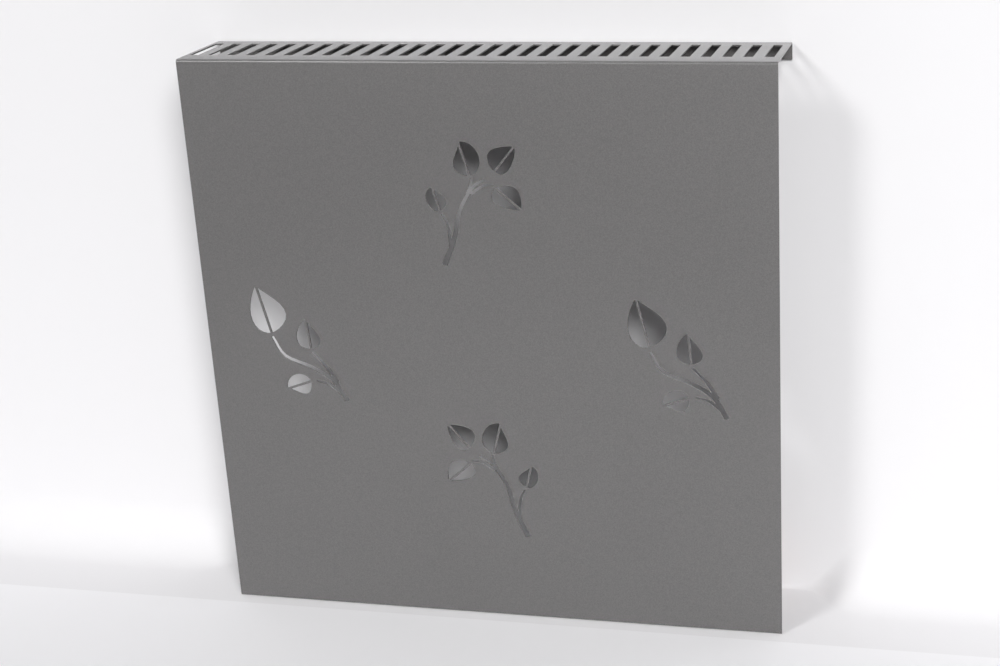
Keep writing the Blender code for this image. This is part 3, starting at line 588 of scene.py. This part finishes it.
def make_fins():
    """Thin fins at the real pitch, held apart by their collars; two bores take the tubes."""
    low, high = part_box("fin_pack")
    count = int((high.x - low.x - FIN_SHEET) / FIN_PITCH) + 1
    pitch = (high.x - low.x - FIN_SHEET) / (count - 1)
    data = bmesh.new()
    previous, first_holes = None, None
    for number in range(count):
        x = low.x + number * pitch
        left_rim, left_holes = fin_face(data, x, low, high, COLLAR_RADIUS if number else FIN_BORE)
        right_rim, right_holes = fin_face(data, x + FIN_SHEET, low, high,
                                          COLLAR_RADIUS if number < count - 1 else FIN_BORE)
        bridge(data, left_rim, right_rim)
        if previous:
            for first, second in zip(previous, left_holes):
                bridge(data, first, second)
        else:
            first_holes = left_holes
        previous = right_holes
    for first, second in zip(first_holes, previous):
        bridge(data, first, second)
    show("fin_stack", data, "fin_aluminium", body_of("fin_pack"), ["fin_pack"], sharp=30)


# ---------------------------------------------------------------- detail on the valves

FINE_EASE = 0.0002
BODY_RADIUS = 0.0120
BODY_FOOT = -0.0277
BODY_BORE = 0.0060
BRANCH_RADIUS = 0.0116
BRANCH_REACH = 0.0200
BOSS_RADIUS = 0.0130
BOSS_REACH = 0.0220
CUTTER_OVERLAP = 0.01  # how far a boring cutter sticks out of what it bores


def ribbed(count, depth, low, high, skin):
    """A wave for add_turned: ribs between two distances on the surface outside the skin radius."""
    def wave(radius, angle, along):
        if radius <= skin or not low < along < high:
            return radius
        return radius - depth * (0.5 + 0.5 * math.cos(count * angle)) ** 2
    return wave


UNION_FLATS = 0.030
JOINT_FLATS = 0.027
UNION_TAIL = [(0.0078, 0.060), (0.009, 0.060), (0.009, 0.072), (0.0115, 0.072), (0.0115, 0.075),
              (0.006, 0.075), (0.006, 0.0703), (0.0078, 0.0703)]
UNION_BORE = [(0.0123, 0.088), (0.0123, 0.0717), (0.0093, 0.0717), (0.0093, 0.068)]
JOINT_BORE = [(0.0079, 0.028), (0.0079, 0.025), (0.0123, 0.025), (0.0123, 0.0165)]
OLIVE = [(0.0078, 0.0203), (0.0094, 0.0216), (0.0094, 0.0232), (0.0078, 0.0247)]


def make_joints():
    """Union and wall joint on each valve."""
    for label, valve in (("supply", SUPPLY), ("return", RETURN)):
        foot = (valve.x, valve.y, BOTTOM)
        turned(label + "_union_tail", label + "_union_tailpiece", "brass", UNION_TAIL, foot, "z")
        turned(label + "_union_gasket", label + "_gasket_ring", "black_rubber",
               ring(0.0065, 0.0110, 0.0753, 0.0770), foot, "z", FINE_EASE)
        hexagon_nut(label + "_union_nut", label + "_union_hexagon", UNION_FLATS,
                    UNION_BORE[-1][1], UNION_BORE[0][1], UNION_BORE, foot, "z")
        hexagon_nut(label + "_compression_nut", label + "_joint_hexagon", JOINT_FLATS,
                    JOINT_BORE[-1][1], JOINT_BORE[0][1], JOINT_BORE, valve, "y")
        turned(label + "_olive", label + "_olive_ring", "brass", OLIVE, valve, "y", FINE_EASE)


def drilled(data, profile, centre, axis):
    return combine(data, turned_data(profile, centre, axis, 0), "DIFFERENCE")


def valve_casting(node, name, centre, top, boss=None, top_bore=None):
    """Angle body with a groove below its branch, turned and bored like the node it stands for."""
    column = [(0, BODY_FOOT), (BODY_RADIUS, BODY_FOOT), (BODY_RADIUS, -0.0145), (0.0114, -0.0130),
              (BODY_RADIUS, -0.0115), (BODY_RADIUS, top), (0, top)]
    data = turned_data(column, centre, "z")
    branch = turned_data(solid(BRANCH_RADIUS, 0, BRANCH_REACH), centre, "y")
    data = combine(data, branch, "UNION")
    if boss:
        data = combine(data, turned_data(solid(BOSS_RADIUS, -boss, 0), centre, "x"), "UNION")
        data = drilled(data, solid(0.0085, -boss - CUTTER_OVERLAP, -0.0045), centre, "x")
    data = drilled(data, solid(BODY_BORE, BODY_FOOT - CUTTER_OVERLAP, 0.007), centre, "z")
    socket = [(0, -0.001), (0.0056, -0.001), (0.0056, 0.010), (0.0078, 0.010),
              (0.0078, BRANCH_REACH + CUTTER_OVERLAP), (0, BRANCH_REACH + CUTTER_OVERLAP)]
    data = drilled(data, socket, centre, "y")
    if top_bore:
        data = drilled(data, solid(top_bore, 0.005, 0.04), centre, "z")
    show(name, data, "nickel_plate", body_of(node), [node], sharp=32)


KNURL_COUNT = 40
KNURL_DEPTH = 0.0006
WHEEL_RIBS = 12
WHEEL_RIB_DEPTH = 0.0013
FINE_SIDES = 240  # sides of a turned piece with ribs or knurls


def make_head():
    """Thermostatic head: insert, pin, collar, base, sensor and the numbered handwheel."""
    insert = [(0.0019, -0.006), (0.0082, -0.006), (0.0082, -0.024), (0.0065, -0.024),
              (0.0065, -0.030), (0.0019, -0.030)]
    turned("valve_insert", "insert_turning", "brass", insert, SUPPLY, "x")
    pin = solid(0.0015, -0.0342, -0.0038)
    turned("valve_pin", "pin_turning", "zinc_plate", pin, SUPPLY, "x", EASE, 24)
    turned("valve_disc", "disc_moulding", "black_rubber", solid(0.0042, -0.0035, -0.0010), SUPPLY, "x")

    collar = [(0.0133, -0.0120), (0.0160, -0.0120), (0.0160, -0.0128), (0.0160, -0.0290),
              (0.0160, -0.0300), (0.0113, -0.0300), (0.0113, -0.0283), (0.0133, -0.0283)]
    knurl = ribbed(KNURL_COUNT, KNURL_DEPTH, -0.0291, -0.0127, 0.0155)
    turned("head_collar_nut", "knurled_collar", "nickel_plate", collar, SUPPLY, "x",
           FINE_EASE, FINE_SIDES, knurl)

    base = [(0.0075, -0.0253), (0.0130, -0.0253), (0.0130, -0.0280), (0.0110, -0.0280),
            (0.0110, -0.0305), (0.0190, -0.0305), (0.0190, -0.0460), (0.0050, -0.0460),
            (0.0050, -0.0360), (0.0075, -0.0360)]
    turned("head_base", "base_moulding", "white_plastic", base, SUPPLY, "x", EASE, 96)
    sensor = [(0, -0.0345), (0.0035, -0.0345), (0.0035, -0.0495), (0.0110, -0.0495),
              (0.0110, -0.0560), (0.0104, -0.0566), (0.0104, -0.0574), (0.0110, -0.0580),
              (0.0110, -0.0720), (0, -0.0720)]
    turned("wax_sensor", "sensor_capsule", "copper", sensor, SUPPLY, "x")

    cup = [(0.0193, -0.0330), (0.0221, -0.0330), (0.0223, -0.0334), (0.0223, -0.0425),
           (0.0225, -0.0440), (0.0225, -0.0860), (0.0222, -0.0885), (0.0206, -0.0912),
           (0.0192, -0.0920), (0.0150, -0.0920), (0.0140, -0.0914), (0, -0.0914),
           (0, -0.0860), (0.0193, -0.0860)]
    grip = ribbed(WHEEL_RIBS, WHEEL_RIB_DEPTH, -0.0870, -0.0430, 0.021)
    turned("handwheel", "ribbed_cup", "white_plastic", cup, SUPPLY, "x", FINE_EASE, FINE_SIDES, grip)
    make_dial()
    make_pointer()


DIAL_RADIUS = 0.0223
DIAL_LINE = -0.0379  # middle of the numbers, from the valve's centre
DIGIT_SIZE = 0.0058
DIGIT_RISE = 0.00008
DIGIT_STEP = 60  # degrees from one number to the next
TOP_NUMBER = 5


def digit_data(number):
    """A raised number, flat, with its middle at the origin."""
    words = bpy.data.curves.new("digit", "FONT")
    words.body = str(number)
    words.size = DIGIT_SIZE
    words.align_x = "CENTER"
    words.align_y = "CENTER"
    words.extrude = DIGIT_RISE
    words.resolution_u = 4
    text = bpy.data.objects.new("digit", words)
    bpy.context.scene.collection.objects.link(text)
    flat = bpy.data.meshes.new_from_object(text.evaluated_get(bpy.context.evaluated_depsgraph_get()))
    bpy.data.objects.remove(text)
    data = bmesh.new()
    data.from_mesh(flat)
    bpy.data.meshes.remove(flat)
    bmesh.ops.remove_doubles(data, verts=data.verts, dist=SAME_POINT)
    return data


def make_dial():
    """Numbers 0 to 5 round the handwheel, with 5 under the pointer when the valve is open."""
    for number in range(TOP_NUMBER + 1):
        data = digit_data(number)
        middle = math.radians(90 - (TOP_NUMBER - number) * DIGIT_STEP)
        for vert in data.verts:
            angle = middle + vert.co.x / DIAL_RADIUS
            reach = DIAL_RADIUS + vert.co.z
            wrapped = Vector((vert.co.y + DIAL_LINE, reach * math.cos(angle), reach * math.sin(angle)))
            vert.co = SUPPLY + wrapped
        show(f"dial_number_{number}", data, "grey_plastic", body_of("handwheel"))


def make_pointer():
    """A small wedge on top of the head's base, pointing at the numbers."""
    data = bmesh.new()
    outline = ((-0.0322, -0.0004), (-0.0322, 0.0004), (-0.0309, 0.0010), (-0.0309, -0.0010))
    skins = []
    for rise in (0.0187, 0.0191):
        skins.append([data.verts.new(SUPPLY + Vector((x, y, rise))) for x, y in outline])
        data.faces.new(skins[-1])
    bridge(data, *skins)
    show("dial_pointer", data, "grey_plastic", body_of("head_base"))


CAP_RIBS = 24
CAP_RIB_DEPTH = 0.0005
CAP_SIDES = 192
SPINDLE_FLAT = 0.0023  # half the distance across the spindle's flats


def make_lockshield():
    """Gland, spindle with its flats, plug and the ribbed cap that is pulled off to reach them."""
    gland = [(0.0031, 0.008), (0.0072, 0.008), (0.0072, 0.0163), (0.010, 0.0163),
             (0.010, 0.021), (0.0031, 0.021)]
    turned("lockshield_gland", "gland_turning", "brass", gland, RETURN, "z")
    spindle = [(0, 0.0013), (0.0028, 0.0013), (0.0028, 0.0205), (0.0028, 0.0215),
               (0.0028, 0.0290), (0, 0.0290)]

    def flats(radius, angle, along):
        if along < 0.021 or radius < 0.002:
            return radius
        return min(radius, SPINDLE_FLAT / max(abs(math.cos(angle)), 0.01))
    turned("lockshield_spindle", "spindle_turning", "zinc_plate", spindle, RETURN, "z",
           FINE_EASE, ROUND, flats)
    plug = solid(0.0050, -0.0030, 0.0010)
    turned("lockshield_plug", "plug_moulding", "black_rubber", plug, RETURN, "z")
    cap = [(0, 0.040), (0.0108, 0.040), (0.0124, 0.0393), (0.0130, 0.0378), (0.0130, 0.0200),
           (0.0130, 0.0163), (0.0115, 0.0163), (0.0115, 0.0375), (0, 0.0375)]
    grip = ribbed(CAP_RIBS, CAP_RIB_DEPTH, 0.0195, 0.0390, 0.0118)
    turned("lockshield_cap", "ribbed_cap", "white_plastic", cap, RETURN, "z", FINE_EASE, CAP_SIDES, grip)


VENT_RISE = 0.0135  # foot of the vent above the valve's centre
VENT_HALF_FLATS = 0.0053
SQUARE_HALF_FLATS = 0.0015


def make_vent():
    """Air vent: hexagon body and a square-ended screw."""
    centre = (SUPPLY.x, SUPPLY.y, SUPPLY.z + VENT_RISE)
    body = [(0.0022, 0.0003), (0.0060, 0.0003), (0.0060, 0.0008), (0.0060, 0.0075),
            (0.0060, 0.0080), (0.0045, 0.0080), (0.0045, 0.0120), (0.0022, 0.0120)]

    def hexagon(radius, angle, along):
        if radius < 0.0055:
            return radius
        return min(radius, flat_sided(angle, 6, VENT_HALF_FLATS))
    turned("bleed_valve_body", "vent_body", "nickel_plate", body, centre, "z", FINE_EASE, 96, hexagon)
    screw = [(0, 0.0020), (0.0019, 0.0020), (0.0019, 0.0115), (0.0019, 0.0125),
             (0.0019, 0.0150), (0, 0.0150)]

    def square(radius, angle, along):
        if along < 0.012 or radius < 0.001:
            return radius
        return min(radius, flat_sided(angle, 4, SQUARE_HALF_FLATS))
    turned("bleed_screw", "vent_screw", "brass", screw, centre, "z", FINE_EASE, ROUND, square)


make_strips()
make_screws()
make_rests()
make_tubes()
make_fins()
make_joints()
valve_casting("thermostatic_valve_body", "thermostatic_casting", SUPPLY, VENT_RISE, boss=BOSS_REACH)
valve_casting("lockshield_body", "lockshield_casting", RETURN, 0.0160, top_bore=0.0075)
make_head()
make_lockshield()
make_vent()

# ---------------------------------------------------------------- stage

def surface(name, rows, material):
    """A sheet through rows of points, facing the room."""
    data = bmesh.new()
    grid = [[data.verts.new(point) for point in row] for row in rows]
    for low, high in zip(grid, grid[1:]):
        for i in range(len(low) - 1):
            data.faces.new((low[i], low[i + 1], high[i + 1], high[i]))
    mesh = bpy.data.meshes.new(name)
    data.to_mesh(mesh)
    data.free()
    mesh.shade_smooth()
    mesh.materials.append(material)
    sheet = bpy.data.objects.new(name, mesh)
    bpy.context.scene.collection.objects.link(sheet)
    sheet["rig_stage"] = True
    return sheet


def paper(name, tone, see_through_from_behind):
    material = bpy.data.materials.new(name)
    material.use_nodes = True
    tree = material.node_tree
    shader = tree.nodes["Principled BSDF"]
    shader.inputs["Base Color"].default_value = (*tone, 1)
    shader.inputs["Roughness"].default_value = 0.9
    shader.inputs["Specular IOR Level"].default_value = 0.1
    if see_through_from_behind:
        geometry = tree.nodes.new("ShaderNodeNewGeometry")
        clear = tree.nodes.new("ShaderNodeBsdfTransparent")
        mix = tree.nodes.new("ShaderNodeMixShader")
        link(tree, geometry.outputs["Backfacing"], mix.inputs["Fac"])
        link(tree, shader.outputs["BSDF"], mix.inputs[1])
        link(tree, clear.outputs["BSDF"], mix.inputs[2])
        link(tree, mix.outputs["Shader"], tree.nodes["Material Output"].inputs["Surface"])
    return material


STAGE_GAP = 0.0012  # from the object to the paper
STAGE_REACH = 4  # half width of the paper, and how far the floor goes on behind
WALL_ABOVE = 0.30
FLOOR_DEPTH = 1.2
SWEEP_REACH = 0.12  # the backdrop's own share of the floor
SWEEP_STEPS = 16
TIGHT_RADIUS, WIDE_RADIUS = 0.004, 0.060
WALL_Y = WALL + STAGE_GAP
FLOOR_Z = BOTTOM - STAGE_GAP
FLOOR_TONE = (0.91, 0.905, 0.92)
WALL_TONE = (0.85, 0.843, 0.855)


def sweep_radius(x):
    """The backdrop curves gently into the floor beside the heater, and tightly behind it."""
    beyond = min(max((abs(x) - CAD_HIGH.x - 0.01) / 0.06, 0), 1)
    return TIGHT_RADIUS + (WIDE_RADIUS - TIGHT_RADIUS) * beyond * beyond * (3 - 2 * beyond)


def make_stage():
    """White paper behind and below the heater, and the floor behind the wall, which is returned."""
    stations = [-STAGE_REACH, -1.5, -0.6] + [i * 0.02 for i in range(-22, 23)] + [0.6, 1.5, STAGE_REACH]
    columns = []
    for x in stations:
        radius = sweep_radius(x)
        column = [(x, WALL_Y - SWEEP_REACH, FLOOR_Z)]
        for i in range(SWEEP_STEPS + 1):
            angle = math.pi / 2 * i / SWEEP_STEPS
            column.append((x, WALL_Y - radius + radius * math.sin(angle),
                           FLOOR_Z + radius - radius * math.cos(angle)))
        column += [(x, WALL_Y, z) for z in (FLOOR_Z + 0.2, FLOOR_Z + 0.6, TOP + WALL_ABOVE)]
        columns.append(column)
    surface("backdrop", list(zip(*columns)), paper("white backdrop", WALL_TONE, True))
    floor_paper = paper("pale floor", FLOOR_TONE, False)

    def flat_floor(name, near, far):
        rows = [[(x, y, FLOOR_Z) for x in (-STAGE_REACH, STAGE_REACH)] for y in (near, far)]
        return surface(name, rows, floor_paper)
    flat_floor("floor", WALL_Y - FLOOR_DEPTH, WALL_Y - SWEEP_REACH)
    return flat_floor("rear_floor", WALL_Y + 0.0005, WALL_Y + STAGE_REACH)


rear_floor = make_stage()


# ---------------------------------------------------------------- light and camera

def soft_light(name, place, size, power):
    """A round soft box that faces the heater's middle."""
    data = bpy.data.lights.new(name, "AREA")
    data.shape = "DISK"
    data.size = size
    data.energy = power
    light = bpy.data.objects.new(name, data)
    bpy.context.scene.collection.objects.link(light)
    light.location = place
    light.rotation_euler = (Vector(place) - MIDDLE).to_track_quat("Z", "Y").to_euler()
    light.visible_camera = False
    return light


KEY_PLACE = (2.10, -4.50, 2.66)
FILL_PLACE = (-2.62, -4.50, 3.35)
BACK_PLACE = (0.9, 2.0, 1.6)
soft_light("key_light", KEY_PLACE, size=2.25, power=258)
soft_light("fill_light", FILL_PLACE, size=1.35, power=125)
back_light = soft_light("back_light", BACK_PLACE, size=1.6, power=110)
cover_back_light = soft_light("cover_back_light", BACK_PLACE, size=1.6, power=24)

SKY_DIFFUSE = 0.03
SKY_MIRRORED = 0.32
world = bpy.data.worlds.new("studio")
bpy.context.scene.world = world
world.use_nodes = True
room = world.node_tree
sky = room.nodes["Background"]
sky.inputs["Color"].default_value = (0.97, 0.97, 1.0, 1)
backcloth = room.nodes.new("ShaderNodeBackground")
backcloth.inputs["Color"].default_value = (0.90, 0.90, 0.92, 1)
ray = room.nodes.new("ShaderNodeLightPath")
# Metal mirrors a brighter room than the one that lights the scene.
sky_strength = room.nodes.new("ShaderNodeMapRange")
sky_strength.inputs["To Min"].default_value = SKY_DIFFUSE
sky_strength.inputs["To Max"].default_value = SKY_MIRRORED
link(room, ray.outputs["Is Glossy Ray"], sky_strength.inputs["Value"])
link(room, sky_strength.outputs["Result"], sky.inputs["Strength"])
either = room.nodes.new("ShaderNodeMixShader")
link(room, ray.outputs["Is Camera Ray"], either.inputs["Fac"])
link(room, sky.outputs["Background"], either.inputs[1])
link(room, backcloth.outputs["Background"], either.inputs[2])
link(room, either.outputs["Shader"], room.nodes["World Output"].inputs["Surface"])
bpy.context.scene.view_settings.view_transform = "Standard"

# The lights behind never shine on the backdrop. The cover's own is weak, so that its inside
# throws little light on the backdrop behind the cut-outs.
object_pieces = bpy.data.collections.new("object_pieces")
fittings = bpy.data.collections.new("fittings_and_rear_floor")
cover_only = bpy.data.collections.new("cover_only")
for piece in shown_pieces():
    object_pieces.objects.link(piece)
    (cover_only if piece == folded_cover else fittings).objects.link(piece)
fittings.objects.link(rear_floor)
for light, receivers in ((back_light, fittings), (cover_back_light, cover_only)):
    light.light_linking.receiver_collection = receivers
    light.light_linking.blocker_collection = object_pieces

# The camera stands to the right of the heater, above it, and is turned slightly on its side.
CAMERA_PLACE = Vector((0.5199, -1.7173, 0.3701))
CAMERA_RIGHT = Vector((0.97608, 0.21428, -0.03671))
CAMERA_UP = Vector((-0.04007, 0.34330, 0.93837))
CAMERA_BACK = Vector((0.21367, -0.91446, 0.34367))
camera_data = bpy.data.cameras.new("camera")
camera_data.lens = 63.87
camera_data.sensor_width = 36
camera_data.shift_x = -0.123
camera_data.shift_y = 0.026
camera = bpy.data.objects.new("camera", camera_data)
bpy.context.scene.collection.objects.link(camera)
turn = Matrix((CAMERA_RIGHT, CAMERA_UP, CAMERA_BACK)).transposed()
camera.matrix_world = Matrix.Translation(CAMERA_PLACE) @ turn.to_4x4()
bpy.context.scene.camera = camera
